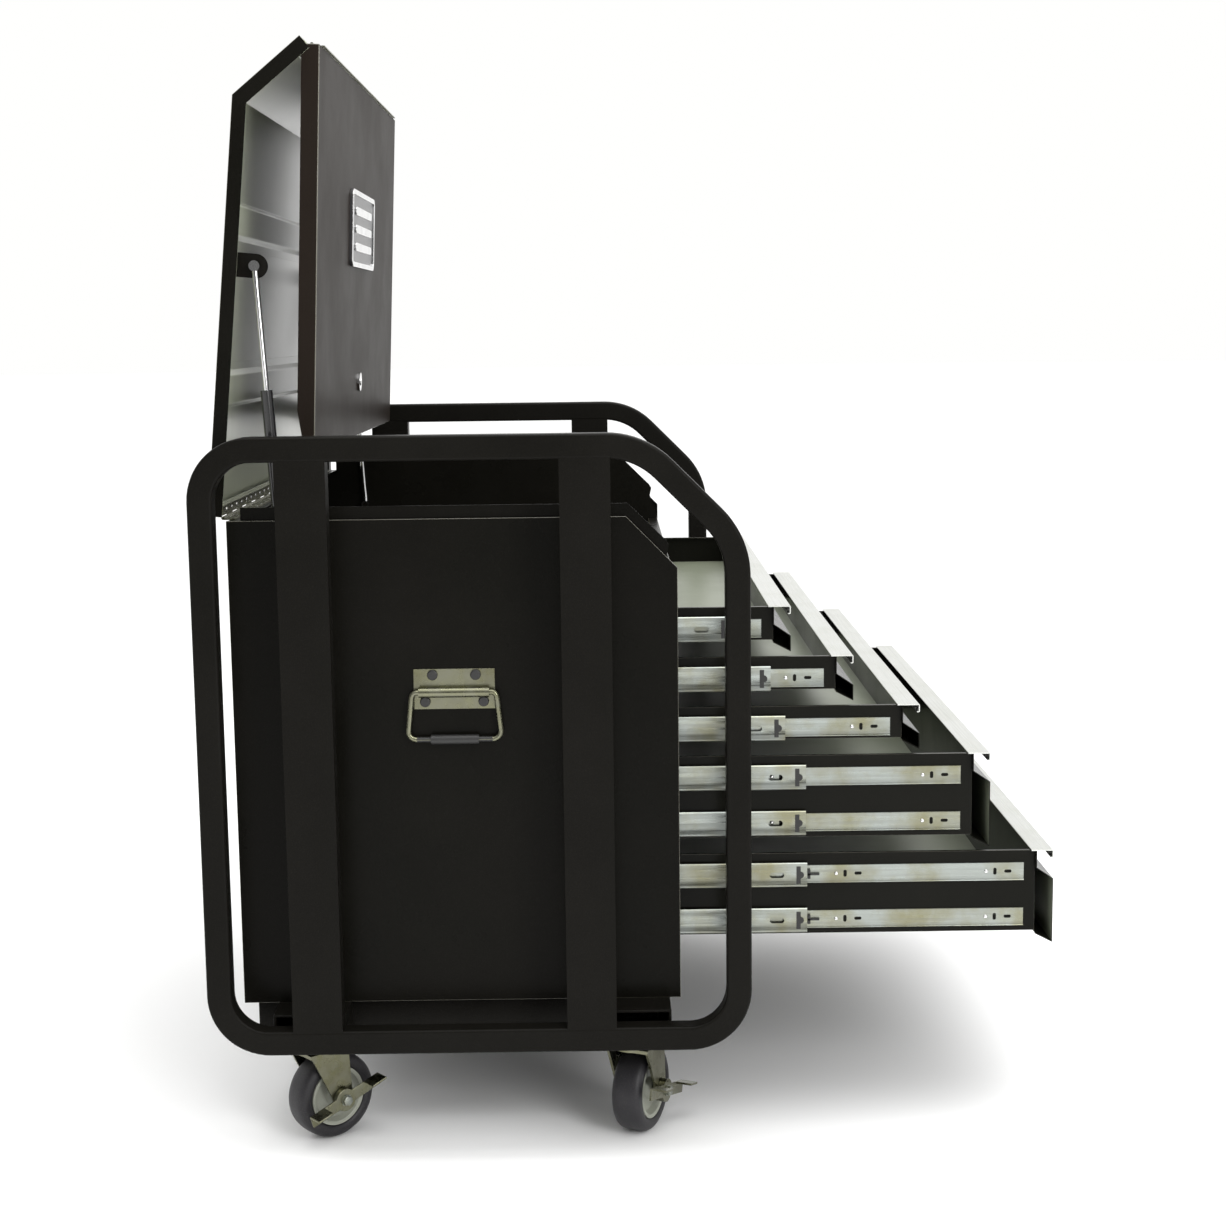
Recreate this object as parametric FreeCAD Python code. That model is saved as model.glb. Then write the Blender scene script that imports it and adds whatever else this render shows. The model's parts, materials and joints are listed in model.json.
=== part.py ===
import FreeCAD, Part
import math
import os
from FreeCAD import Vector

os.makedirs("parts", exist_ok=True)

# Frame: millimetres, +Z up, the chest faces -Y, its left side is -X.
# The origin is on the floor, midway between the cabinet's sides and its front and back.

# Driving dimensions
sheet = 1.2                    # cabinet, lid and drawer steel
halfWidth = 520.7              # cabinet side, outer face
halfDepth = 317.5              # cabinet front and back, outer faces
baseTop = 209.0                # underside of the cabinet
cabinetTop = 912.5             # top of the side panels
chamferTopY = -245.4           # where the side panel's front slope starts
chamferBottomZ = 839.0         # where that slope ends
rimHalf = 515.0                # raised inner wall of the top compartment
rimTop = 930.7
trayFloor = 781.6

lidHinge = (325.0, 915.0)      # piano hinge axis, Y and Z
lidOpenAngle = 84.4            # the lid is stored open by this much
lidTop = 933.0
lidRear = 322.0
lidCorner = -258.3             # where the lid's plate turns down
lidChamfer = 86.4              # that slope's drop, and its run
lidSkirt = 21.0

coverHalf = 505.0              # drop-front that hangs from the lid
coverHeight = 561.0
coverDepth = 25.0
coverTopDepth = 17.0
coverSetback = 14.9            # outer face to the hinge axis
coverLean = 2.6                # the cover hangs with its foot this much rearward

drawerTopZ = 779.0             # top of the first drawer
drawerUnit = 72.7              # height of a single drawer
drawerUnits = [1, 1, 1, 2, 2]
drawerOut = [138.0, 228.0, 324.0, 427.0, 521.0]      # how far each is pulled out
runnerOut = [82.0, 137.0, 158.0, 188.0, 190.0]       # the same for its middle runners
pullHalf = 496.0
boxHalf = 488.0
boxRear = 262.0
recessY = -318.0               # drawer front's upper face when shut
pullReach = 24.0
slideLength = 558.8
slideDrop = 33.0               # slide centre below the drawer's top
slideSpacing = 68.0            # between a double drawer's two slides
slideWall = 500.7              # face that the cabinet runners are fixed to

frameFace = 607.5              # guard frame, outer face
frameThick = 32.1
frameTube = 34.8
frameWall = 2.5
frameRear = 354.6
frameFront = -415.0
frameBottom = 159.5
frameTop = 1034.0
frameDiagonal = 890.0          # height where the sloping tube would meet the front one
cornerRadius = 88.0
bendRadius = 130.0
uprightY = [199.3, -188.6]
uprightWidth = 70.0

beamY = [215.0, -250.0]        # chassis beams and the casters under them
beamWidth = 104.0
casterX = 512.0
casterTurn = [40.0, 66.0]      # how far the rear and front casters have swivelled
casterTrail = 20.0
wheelRadius = 63.5
wheelWidth = 48.0
brakeTilt = [18.0, -14.0]      # the brake lever's tilt, rear and front
brakeHalfLength = 62.0

handleY = 1.6
handleZ = 665.9
runningGap = 0.05              # radial clearance in pivots

strutFoot = (242.0, 847.0)     # gas strut's lower pivot, Y and Z
strutHead = (266.6, 1266.7)    # its upper pivot while the lid is open
strutX = 503.5
strutRadius = 8.5


def save(name, shapes):
    solids = shapes if isinstance(shapes, list) else [shapes]
    shape = solids[0] if len(solids) == 1 else Part.makeCompound(solids)
    shape.exportStep("parts/" + name + ".step")
    print(name, len(shape.Solids), round(shape.Volume / 1000.0, 1), "cm3")


def box(x, y, z):
    low = Vector(min(x), min(y), min(z))
    return Part.makeBox(max(x) - low.x, max(y) - low.y, max(z) - low.z, low)


def cylinder(start, direction, radius, length):
    return Part.makeCylinder(radius, length, Vector(*start), Vector(*direction))


def prism(outline, x):
    # outline is in Y and Z, and is drawn out from one X to the other
    points = [Vector(min(x), y, z) for y, z in outline]
    face = Part.Face(Part.makePolygon(points + points[:1]))
    return face.extrude(Vector(max(x) - min(x), 0, 0))


def offsetLine(points, distance):
    # the same folded line, moved to its left by distance, with mitred corners
    moved = []
    last = len(points) - 1
    for i, (y, z) in enumerate(points):
        normals = []
        for a, b in ((i - 1, i), (i, i + 1)):
            if 0 <= a and b <= last:
                dy = points[b][0] - points[a][0]
                dz = points[b][1] - points[a][1]
                size = math.hypot(dy, dz)
                normals.append((-dz / size, dy / size))
        ny = sum(n[0] for n in normals)
        nz = sum(n[1] for n in normals)
        scale = 2.0 / (ny * ny + nz * nz) if len(normals) == 2 else 1.0
        moved.append((y + ny * distance * scale, z + nz * distance * scale))
    return moved


def folded(points, x, thickness=sheet):
    # folded sheet: its outer line, drawn along X, with the metal to the left of the line
    return prism(points + offsetLine(points, thickness)[::-1], x)


def fuse(solids):
    shape = solids[0].fuse(solids[1:]) if len(solids) > 1 else solids[0]
    return shape.removeSplitter()


def mirrored(shape):
    return shape.mirror(Vector(0, 0, 0), Vector(1, 0, 0))


def moved(shape, x=0, y=0, z=0):
    copy = shape.copy()
    copy.translate(Vector(x, y, z))
    return copy


def turned(shape, centre, axis, angle):
    copy = shape.copy()
    copy.rotate(Vector(*centre), Vector(*axis), angle)
    return copy


def opened(shape):
    # from the closed lid's place to the open one
    return turned(shape, (0,) + lidHinge, (-1, 0, 0), lidOpenAngle)


def openedPoint(y, z):
    turn = math.radians(lidOpenAngle)
    dy = y - lidHinge[0]
    dz = z - lidHinge[1]
    newY = lidHinge[0] + dy * math.cos(turn) + dz * math.sin(turn)
    return newY, lidHinge[1] - dy * math.sin(turn) + dz * math.cos(turn)


# Cabinet shell

def sidePanel():
    outline = [(halfDepth, baseTop), (halfDepth, cabinetTop), (chamferTopY, cabinetTop),
               (-halfDepth, chamferBottomZ), (-halfDepth, baseTop)]
    inner = offsetLine(outline + outline[:2], sheet)[1:-1]
    pan = prism(outline, (-halfWidth, -rimHalf)).cut(prism(inner, (sheet - halfWidth, -rimHalf)))
    jamb = box((sheet - halfWidth, -500.0), (-halfDepth, sheet - halfDepth), (baseTop, 783.5))
    return fuse([pan, jamb])


def backPanel():
    outline = [(298.0, cabinetTop), (halfDepth, cabinetTop), (halfDepth, baseTop)]
    return folded(outline, (-rimHalf, rimHalf), -sheet)


def topTray():
    half = rimHalf - sheet
    wall = halfDepth - 2 * sheet
    trough = folded([(wall, 905.0), (wall, trayFloor), (-300.0, trayFloor), (-300.0, 811.0),
                     (-316.2, 811.0), (-316.2, 784.0)], (-half, half), -sheet)
    rim = prism([(wall, trayFloor), (wall, 905.0), (298.0, 905.0), (298.0, rimTop),
                 (-248.3, rimTop), (-301.5, 878.0), (-306.0, 871.0), (-303.0, 857.0),
                 (-317.4, 812.2), (-317.4, 784.0), (-300.0, 781.6)], (-rimHalf, -half))
    stud = cylinder((-half, *strutFoot), (1, 0, 0), 4.0, half - strutX + 7.5)
    left = fuse([rim, stud])
    return fuse([trough, left, mirrored(left)])


def cabinetFrame():
    # slotted posts that carry the runners, and the rail under the last drawer
    posts = []
    for y in ((-316.0, -276.0), (214.0, 254.0)):
        outside = box((-halfWidth + sheet, -slideWall), y, (baseTop + 2 * sheet, trayFloor))
        inside = box((-halfWidth + sheet, -slideWall - 1.5), (y[0] + 1.5, y[1] - 1.5), (0, 2000))
        posts.append(outside.cut(inside))
    bottomRail = folded([(-290.0, 274.0), (-halfDepth, 274.0), (-halfDepth, baseTop),
                         (-290.0, baseTop)], (-500.0, 500.0), sheet)
    return posts + [mirrored(post) for post in posts] + [bottomRail]


def baseChassis():
    pan = box((-505, 505), (-300, 300), (163.0, baseTop))
    pan = pan.cut(box((-502.5, 502.5), (-297.5, 297.5), (0, baseTop - 2.5)))
    reach = frameFace - frameThick
    parts = [pan]
    for y in beamY:
        parts.append(box((-reach, reach), (y - beamWidth / 2, y + beamWidth / 2), (frameBottom, baseTop)))
    chassis = fuse(parts)
    for y in beamY:
        inside = (y - beamWidth / 2 + 4, y + beamWidth / 2 - 4)
        chassis = chassis.cut(box((-reach - 1, reach + 1), inside, (frameBottom + 4, baseTop - 4)))
    for x in (-casterX, casterX):
        for y in beamY:
            for hole in boltPlaces(x, y):
                chassis = chassis.cut(cylinder((*hole, frameBottom - 1), (0, 0, 1), 5.0, 6))
    return chassis


def guardOutline(inset):
    # points of the loop with its corner radii, as (Y, Z, radius)
    slope = math.tan(math.radians(22.5))
    rear = frameRear - inset
    front = frameFront + inset
    low = frameBottom + inset
    high = frameTop - inset
    topY = frameFront + frameTop - frameDiagonal + inset * slope
    frontZ = frameDiagonal - inset * slope
    return [(rear, low, cornerRadius - inset), (rear, high, cornerRadius - inset),
            (topY, high, bendRadius - inset), (front, frontZ, bendRadius - inset),
            (front, low, cornerRadius - inset)]


def roundedFace(corners, x):
    edges = []
    ends = []
    count = len(corners)
    for i, (y, z, radius) in enumerate(corners):
        here = Vector(x, y, z)
        before = (Vector(x, *corners[i - 1][:2]) - here).normalize()
        after = (Vector(x, *corners[(i + 1) % count][:2]) - here).normalize()
        half = before.getAngle(after) / 2
        start = here + before * (radius / math.tan(half))
        end = here + after * (radius / math.tan(half))
        middle = here + (before + after).normalize() * (radius / math.sin(half) - radius)
        ends.append((start, end))
        edges.append(Part.Arc(start, middle, end).toShape())
    for i in range(count):
        edges.append(Part.LineSegment(ends[i - 1][1], ends[i][0]).toShape())
    return Part.Face(Part.Wire(Part.__sortEdges__(edges)))


def guardFrame():
    # hollow tube loop with two flat hollow uprights, and a drain hole that opens the cavity
    outer = roundedFace(guardOutline(0.0), -frameFace)
    inner = roundedFace(guardOutline(frameTube), -frameFace)
    loop = outer.cut(inner).extrude(Vector(frameThick, 0, 0))
    edges = [e for e in loop.Edges if abs(e.Vertexes[0].X - e.Vertexes[-1].X) < 0.01]
    loop = loop.makeFillet(4.5, edges)
    inside = -frameFace + frameWall
    hollow = roundedFace(guardOutline(frameWall), inside)
    hollow = hollow.cut(roundedFace(guardOutline(frameTube - frameWall), inside))
    cavities = [hollow.extrude(Vector(frameThick - 2 * frameWall, 0, 0))]
    parts = [loop]
    for y in uprightY:
        width = (y - uprightWidth / 2, y + uprightWidth / 2)
        height = (frameBottom + frameTube / 2, frameTop - frameTube / 2)
        parts.append(box((-frameFace + 0.6, -frameFace + frameThick - 0.6), width, height))
        cavities.append(box((inside, inside + frameThick - 2 * frameWall),
                            (width[0] + frameWall, width[1] - frameWall), height))
    drain = cylinder((-frameFace + frameThick / 2, 0, frameBottom - 1), (0, 0, 1), 4.0, 10.0)
    return fuse(parts).cut(fuse(cavities)).cut(drain)


# Piano hinges: the leaves carry knuckles by turns along one pin

knuckleRadius = 2.5
pinRadius = 1.4


def knuckleSpans(half, count, odd):
    step = 2.0 * half / count
    return [(-half + i * step + 0.25, -half + (i + 1) * step - 0.25) for i in range(odd, count, 2)]


def hingeLeaf(centre, half, count, odd, away, offset, width):
    # away is the leaf's direction from the pin; offset is its near and far side of the pin's axis
    along = Vector(0, *away)
    normal = Vector(0, -away[1], away[0])
    middle = Vector(0, *centre)

    def slab(x, near, far):
        points = []
        for distance, side in ((near, 0), (far, 0), (far, 1), (near, 1)):
            place = middle + along * distance + normal * offset[side]
            points.append((place.y, place.z))
        return prism(points, x)

    parts = [slab((-half, half), knuckleRadius + 1.0, width)]
    for span in knuckleSpans(half, count, odd):
        parts.append(slab(span, 0.0, knuckleRadius + 1.5))
        parts.append(cylinder((span[0], *centre), (1, 0, 0), knuckleRadius, span[1] - span[0]))
    bore = cylinder((-half - 1, *centre), (1, 0, 0), pinRadius + runningGap, 2 * half + 2)
    return fuse(parts).cut(bore)


def hingePin(centre, half):
    return cylinder((-half, *centre), (1, 0, 0), pinRadius, 2 * half)


# Lid, and the drop-front cover that hangs from its front edge

lidEnd = (lidCorner - lidChamfer, lidTop - lidChamfer)
diagonal = math.sqrt(0.5)
coverPinDepth = 11.2           # cover hinge's axis, below the slope's outer face
coverPinBeyond = 4.5           # and past the slope's end
coverPinClosed = (lidEnd[0] + (coverPinDepth - coverPinBeyond) * diagonal,
                  lidEnd[1] - (coverPinDepth + coverPinBeyond) * diagonal)
coverPin = openedPoint(*coverPinClosed)
lidHingeHalf = 500.0
coverHingeHalf = 476.0


def lidShell():
    outline = [(303.0, 917.5), (lidRear, 917.5), (lidRear, lidTop), (lidCorner, lidTop), lidEnd]
    plate = folded(outline, (-halfWidth, halfWidth), sheet)
    inward = lidSkirt * diagonal
    seam = cabinetTop + 0.4
    innerCorner = seam - (lidEnd[1] - lidEnd[0]) + 2 * inward
    skirt = prism([(lidRear, seam), (lidRear, lidTop), (lidCorner, lidTop), lidEnd,
                   (lidEnd[0] + inward, lidEnd[1] - inward), (innerCorner, seam)],
                  (-halfWidth, sheet - halfWidth))
    return opened(fuse([plate, skirt, mirrored(skirt)]))


def lidStiffeners():
    # two hat sections, the bar behind the cover's hinge, and the tabs for the struts
    under = lidTop - sheet
    parts = []
    for y in (145.0, -92.0):
        hat = [(y + 38, under), (y + 26, under), (y + 20, under - 10), (y - 20, under - 10),
               (y - 26, under), (y - 38, under)]
        parts.append(folded(hat, (-500, 500)))
    bar = []
    seat = coverPinDepth - knuckleRadius
    for distance, depth in ((1.0, sheet), (22.0, sheet), (22.0, seat), (1.0, seat)):
        bar.append((lidEnd[0] + (distance + depth) * diagonal, lidEnd[1] + (distance - depth) * diagonal))
    parts.append(prism(bar, (-coverHingeHalf, coverHingeHalf)))
    parts = [opened(part) for part in parts]
    tab = strutTab()
    return parts + [tab, mirrored(tab)]


def closedPoint(y, z):
    turn = math.radians(lidOpenAngle)
    dy = y - lidHinge[0]
    dz = z - lidHinge[1]
    return (lidHinge[0] + dy * math.cos(turn) - dz * math.sin(turn),
            lidHinge[1] + dy * math.sin(turn) + dz * math.cos(turn))


def strutTab():
    radius = 17.0
    y, z = closedPoint(*strutHead)
    x = (-494.5, -493.0)
    plate = box(x, (y - radius, y + radius), (z, lidTop - sheet))
    end = cylinder((x[0], y, z), (1, 0, 0), radius, x[1] - x[0])
    foot = box((x[0], x[1] + 16.0), (y - radius, y + radius), (lidTop - sheet - 1.5, lidTop - sheet))
    return opened(fuse([plate, end, foot]))


def hung(shape):
    # the cover is drawn upright about its hinge axis, then leans
    return turned(moved(shape, y=coverPin[0], z=coverPin[1]), (0, *coverPin), (-1, 0, 0), -coverLean)


def frontCover():
    face = -coverSetback
    top = -3.0
    foot = top - coverHeight
    outline = [(face + coverTopDepth, top), (face, top), (face, foot), (face + 14.0, foot)]
    pan = folded(outline, (-coverHalf, coverHalf), sheet)
    side = prism([(face, top), (face, foot), (face + 14.0, foot), (face + coverDepth, foot + 60.0),
                  (face + coverDepth, top - 4.0), (face + coverTopDepth, top)],
                 (-coverHalf, sheet - coverHalf))
    rib = folded([(face + sheet, -330.0), (face + 12.0, -324.0), (face + 12.0, -296.0),
                  (face + sheet, -290.0)], (-460, 460), sheet)
    hole = cylinder((0, face - 1, lockZ), (0, 1, 0), 8.0, 4)
    return hung(fuse([pan, side, mirrored(side), rib]).cut(hole))


lockZ = -3.0 - coverHeight + 88.0


def coverBadge():
    # plain bevelled name-plate blank
    face = -coverSetback
    centre = -232.0
    wide = 150.0
    tall = 62.0
    bevel = 5.0

    def ring(y, inset):
        points = []
        for sx, sz in ((-1, -1), (1, -1), (1, 1), (-1, 1)):
            points.append(Vector(sx * (wide - inset), y, centre + sz * (tall - inset)))
        return Part.makePolygon(points + points[:1])

    plate = Part.makeLoft([ring(face, 0), ring(face - 2.0, 0), ring(face - 6.0, bevel)], True, True)
    return hung(plate)


def lockHousing():
    face = -coverSetback
    flange = cylinder((0, face - 3.5, lockZ), (0, 1, 0), 15.0, 3.5)
    sleeve = cylinder((0, face, lockZ), (0, 1, 0), 7.9, 16.0)
    bore = cylinder((0, face - 5, lockZ), (0, 1, 0), 6.0, 30.0)
    return hung(fuse([flange, sleeve]).cut(bore))


def lockBarrel():
    face = -coverSetback
    plug = cylinder((0, face - 4.5, lockZ), (0, 1, 0), 6.0 - runningGap, 22.0)
    key = box((-0.9, 0.9), (face - 6, face - 1.5), (lockZ - 4.0, lockZ + 4.0))
    cam = box((-6, 6), (face + 16.5, face + 19.0), (lockZ - 26.0, lockZ + 7.0))
    return hung(fuse([plug.cut(key), cam]))


# Gas struts: each half is drawn up from its own pivot

def strutEye(fixed):
    # the fixed one turns on the tray's stud, the free one stays just clear of the lid's tab
    eye = cylinder((strutX - 509.4, 0, 0), (1, 0, 0), 7.5, 13.4)
    neck = cylinder((0, 0, 4.0), (0, 0, 1), 4.5, 22.0)
    bore = cylinder((-20, 0, 0), (1, 0, 0), 4.0 + runningGap, 40) if fixed else None
    return [eye, neck], bore


def strutTube(fixed):
    parts, bore = strutEye(fixed)
    parts.append(cylinder((0, 0, 24.0), (0, 0, 1), strutRadius, 224.0))
    tube = fuse(parts)
    tube = tube.cut(cylinder((0, 0, 30.0), (0, 0, 1), strutRadius - 1.5, 208.0))
    tube = tube.cut(cylinder((0, 0, 230.0), (0, 0, 1), 4.0 + runningGap, 30.0))
    return tube.cut(bore) if bore else tube


def strutRod(fixed):
    parts, bore = strutEye(fixed)
    parts.append(cylinder((0, 0, 5.0), (0, 0, 1), 4.0, 215.0))
    rod = fuse(parts)
    return rod.cut(bore) if bore else rod


def strutHalves(tubeBelow):
    dy = strutHead[0] - strutFoot[0]
    dz = strutHead[1] - strutFoot[1]
    lean = math.degrees(math.atan2(dy, dz))
    lower = strutTube(True) if tubeBelow else strutRod(True)
    upper = strutRod(False) if tubeBelow else strutTube(False)
    lower = turned(lower, (0, 0, 0), (-1, 0, 0), lean)
    upper = turned(upper, (0, 0, 0), (-1, 0, 0), lean)
    upper = turned(upper, (0, 0, 0), (1, 0, 0), 180.0)
    return (moved(lower, -strutX, *strutFoot), moved(upper, -strutX, *strutHead))


# Drawers and their ball-bearing slides

def drawerTop(i):
    return drawerTopZ - drawerUnit * sum(drawerUnits[:i])


def slideHeights(i):
    first = drawerTop(i) - slideDrop
    return [first] if drawerUnits[i] == 1 else [first, first - slideSpacing]


def drawerBox(i):
    top = drawerTop(i)
    low = top - drawerUnit * drawerUnits[i]
    floor = low + 22.7
    lip = recessY - pullReach
    front = folded([(recessY, top - 1.6), (recessY, top - 26.5), (lip, top - 43.0), (lip, low + 6.5),
                    (lip + 27.0, low + 20.5)], (-pullHalf, pullHalf), sheet)
    front = front.cut(box((-600, 600), (recessY + sheet, 0), (floor - 9, floor)))
    trough = folded([(recessY + sheet, top - 1.6), (recessY + sheet, floor), (boxRear, floor),
                     (boxRear, top - 3.0)], (-boxHalf, boxHalf), sheet)
    side = box((-boxHalf, 1.0 - boxHalf), (recessY + sheet, boxRear), (floor, top - 2.0))
    hem = box((-boxHalf, 6.0 - boxHalf), (recessY + sheet, boxRear), (top - 4.0, top - 2.0))
    side = fuse([side, hem])
    return moved(fuse([front, trough, side, mirrored(side)]), y=-drawerOut[i])


def drawerPull(i):
    top = drawerTop(i)
    lip = recessY - pullReach
    outline = [(recessY + 8.0, top), (lip, top), (lip, top - 12.0), (lip + 4.0, top - 12.0)]
    return moved(folded(outline, (-pullHalf, pullHalf), 1.5), y=-drawerOut[i])


def runner(near, far, height, z, front):
    # C-section: web on the near side, lips turned towards the far side
    low = z - height / 2
    high = z + height / 2
    y = (front, front + slideLength)
    web = box((-near, -near + math.copysign(1.2, near - far)), y, (low, high))
    lips = [box((-near, -far), y, (low, low + 1.6)), box((-near, -far), y, (high - 1.6, high))]
    return fuse([web] + lips)


def runners(i, near, far, height, front):
    left = [runner(near, far, height, z, front) for z in slideHeights(i)]
    return left + [mirrored(shape) for shape in left]


def drawerRunners(i):
    return runners(i, 491.4, boxHalf, 27.5, -300.0 - drawerOut[i])


def middleRunners(i):
    return runners(i, 496.4, 492.0, 36.6, -314.0 - runnerOut[i])


def cabinetRunners():
    solids = []
    for i in range(len(drawerUnits)):
        solids += runners(i, slideWall, 497.0, 45.7, -312.0)
    return solids


# Side handles: a pressed plate with a rolled barrel that holds the bail

barrelX = halfWidth + 9.5
bailRadius = 4.0


def handlePlate():
    plate = box((-halfWidth - 2.0, -halfWidth), (handleY - 58, handleY + 58), (640.4, 698.4))
    barrel = cylinder((-barrelX, handleY - 50, handleZ), (0, 1, 0), 7.5, 100)
    web = box((-barrelX, -halfWidth), (handleY - 50, handleY + 50), (handleZ - 3, handleZ + 3))
    bore = cylinder((-barrelX, handleY - 70, handleZ), (0, 1, 0), bailRadius + runningGap, 140)
    return fuse([plate, barrel, web]).cut(bore)


def handleScrews():
    screws = []
    for y, z in ((30.7, 690.0), (-30.7, 690.0), (41.6, 651.5), (-41.6, 651.5)):
        place = (-halfWidth - 2.0, handleY + y, z)
        head = cylinder(place, (-1, 0, 0), 7.5, 4.5)
        edge = [e for e in head.Edges if abs(e.BoundBox.XMin - head.BoundBox.XMin) < 0.1][:1]
        screws.append(head.makeFillet(1.8, edge))
    return screws


def bail():
    # wire in the plane of the side, from the barrel's ends down round the grip
    x = -barrelX
    route = [(44.0, handleZ), (60.0, handleZ), (67.0, 598.0), (-67.0, 598.0), (-60.0, handleZ),
             (-44.0, handleZ)]
    radii = [None, 8.0, 12.0, 12.0, 8.0, None]
    edges = []
    last = Vector(x, handleY + route[0][0], route[0][1])
    for i in range(1, len(route) - 1):
        here = Vector(x, handleY + route[i][0], route[i][1])
        before = (Vector(x, handleY + route[i - 1][0], route[i - 1][1]) - here).normalize()
        after = (Vector(x, handleY + route[i + 1][0], route[i + 1][1]) - here).normalize()
        half = before.getAngle(after) / 2
        start = here + before * (radii[i] / math.tan(half))
        end = here + after * (radii[i] / math.tan(half))
        middle = here + (before + after).normalize() * (radii[i] / math.sin(half) - radii[i])
        edges.append(Part.LineSegment(last, start).toShape())
        edges.append(Part.Arc(start, middle, end).toShape())
        last = end
    edges.append(Part.LineSegment(last, Vector(x, handleY + route[-1][0], route[-1][1])).toShape())
    start = Vector(x, handleY + route[0][0], handleZ)
    profile = Part.Wire(Part.Circle(start, Vector(0, 1, 0), bailRadius).toShape())
    wire = Part.Wire(edges).makePipeShell([profile], True, False)
    grip = cylinder((x, handleY - 34.0, 598.0), (0, 1, 0), 7.0, 68.0)
    hole = cylinder((x, handleY - 35.0, 598.0), (0, 1, 0), bailRadius, 70.0)
    return [wire, grip.cut(hole)]


# Casters: drawn about the swivel axis with the axle along X and the outside towards -X

headTop = frameBottom - 4.3


def boltPlaces(x, y):
    return [(x + dx, y + dy) for dx in (-42.0, 42.0) for dy in (-36.0, 36.0)]


def casterMount(x, y):
    plate = box((x - 55, x + 55), (y - 50, y + 50), (frameBottom - 4, frameBottom))
    parts = [plate, cylinder((x, y, 130.0), (0, 0, 1), 8.0, 27.0)]
    for hole in boltPlaces(x, y):
        parts.append(cylinder((*hole, frameBottom - 11), (0, 0, 1), 8.5, 7.0))
        parts.append(cylinder((*hole, frameBottom - 4), (0, 0, 1), 4.9, 15.0))
    return fuse(parts)


def fork():
    inside = wheelWidth / 2 + 5
    outside = inside + 4
    head = cylinder((0, 0, 134.0), (0, 0, 1), 34.0, headTop - 134.0)
    crown = box((-outside, outside), (-32, 32), (134.0, 139.0))
    parts = [head, crown]
    for x in ((-outside, -inside), (inside, outside)):
        cheek = [(32, 139), (-32, 139), (-casterTrail - 17, wheelRadius + 4),
                 (-casterTrail - 12, wheelRadius - 13), (-casterTrail + 12, wheelRadius - 13),
                 (-casterTrail + 17, wheelRadius + 4)]
        parts.append(prism(cheek, x))
    shape = fuse(parts)
    shape = shape.cut(cylinder((0, 0, 120), (0, 0, 1), 8.0 + runningGap, 50))
    axle = cylinder((-outside - 13, -casterTrail, wheelRadius), (1, 0, 0), 6.0, 2 * outside + 18)
    nut = cylinder((outside, -casterTrail, wheelRadius), (1, 0, 0), 10.0, 5.0)
    return fuse([shape, axle, nut])


def wheel():
    half = wheelWidth / 2
    centre = (-half, -casterTrail, wheelRadius)
    tyre = cylinder(centre, (1, 0, 0), wheelRadius, wheelWidth)
    tyre = tyre.makeFillet(6.0, [e for e in tyre.Edges if e.Curve.TypeId == "Part::GeomCircle"])
    for x in (-half - 1, half - 7):
        dish = cylinder((x, -casterTrail, wheelRadius), (1, 0, 0), 41.0, 8.0)
        boss = cylinder((x, -casterTrail, wheelRadius), (1, 0, 0), 16.0, 8.0)
        tyre = tyre.cut(dish.cut(boss))
    bore = cylinder((-half - 1, -casterTrail, wheelRadius), (1, 0, 0), 6.0 + runningGap, wheelWidth + 2)
    return tyre.cut(bore)


def brakeLever(tilt):
    near = -(wheelWidth / 2 + 9.5)
    centre = (near, -casterTrail, wheelRadius)
    hub = cylinder(centre, (-1, 0, 0), 17.0, 9.0)
    parts = [hub]
    for way in (-1, 1):
        arm = box((near - 9, near - 6), (-casterTrail, -casterTrail + way * brakeHalfLength),
                  (wheelRadius - 9, wheelRadius + 9))
        pedal = box((near - 32, near - 6), (-casterTrail + way * (brakeHalfLength - 26),
                    -casterTrail + way * brakeHalfLength), (wheelRadius + 6, wheelRadius + 9))
        parts += [arm, pedal]
    lever = fuse(parts).cut(cylinder((0, -casterTrail, wheelRadius), (-1, 0, 0), 6.0 + runningGap, 80))
    return turned(lever, centre, (-1, 0, 0), tilt)


def placeCaster(shape, side, end):
    shape = turned(shape, (0, 0, 0), (0, 0, 1), casterTurn[end])
    shape = moved(shape, -casterX, beamY[end])
    return shape if side == "left" else mirrored(shape)


def buildCabinet():
    left = sidePanel()
    save("side_panel_left", left)
    save("side_panel_right", mirrored(left))
    save("back_panel", backPanel())
    save("top_tray", topTray())
    save("cabinet_frame", cabinetFrame())
    save("base_chassis", baseChassis())
    guard = guardFrame()
    save("guard_frame_left", guard)
    save("guard_frame_right", mirrored(guard))
    save("cabinet_runners", cabinetRunners())
    plate = handlePlate()
    save("handle_plates", [plate, mirrored(plate)])
    screws = handleScrews()
    save("handle_screws", screws + [mirrored(screw) for screw in screws])
    save("caster_mounts", [casterMount(x, y) for x in (-casterX, casterX) for y in beamY])
    for side in ("left", "right"):
        handle = bail()
        save("bail_" + side, handle if side == "left" else [mirrored(shape) for shape in handle])


def buildLid():
    lower = hingeLeaf(lidHinge, lidHingeHalf, 25, 0, (-1, 0), (1.0, 2.5), 17.0)
    upper = hingeLeaf(lidHinge, lidHingeHalf, 25, 1, (-1, 0), (-2.5, -1.0), 17.0)
    save("lid_hinge_lower", [lower, hingePin(lidHinge, lidHingeHalf)])
    save("lid_hinge_upper", opened(upper))
    save("lid_shell", lidShell())
    save("lid_stiffeners", lidStiffeners())
    upper = hingeLeaf(coverPinClosed, coverHingeHalf, 17, 1, (diagonal, diagonal), (1.0, 2.5), 24.0)
    save("cover_hinge_upper", opened(upper))
    lower = hingeLeaf((0.0, 0.0), coverHingeHalf, 17, 0, (-1, 0), (1.5, 3.0), 18.0)
    save("cover_hinge_lower", [hung(lower), hingePin(coverPin, coverHingeHalf)])
    save("front_cover", frontCover())
    save("cover_badge", coverBadge())
    save("lock_housing", lockHousing())
    save("lock_barrel", lockBarrel())


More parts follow.
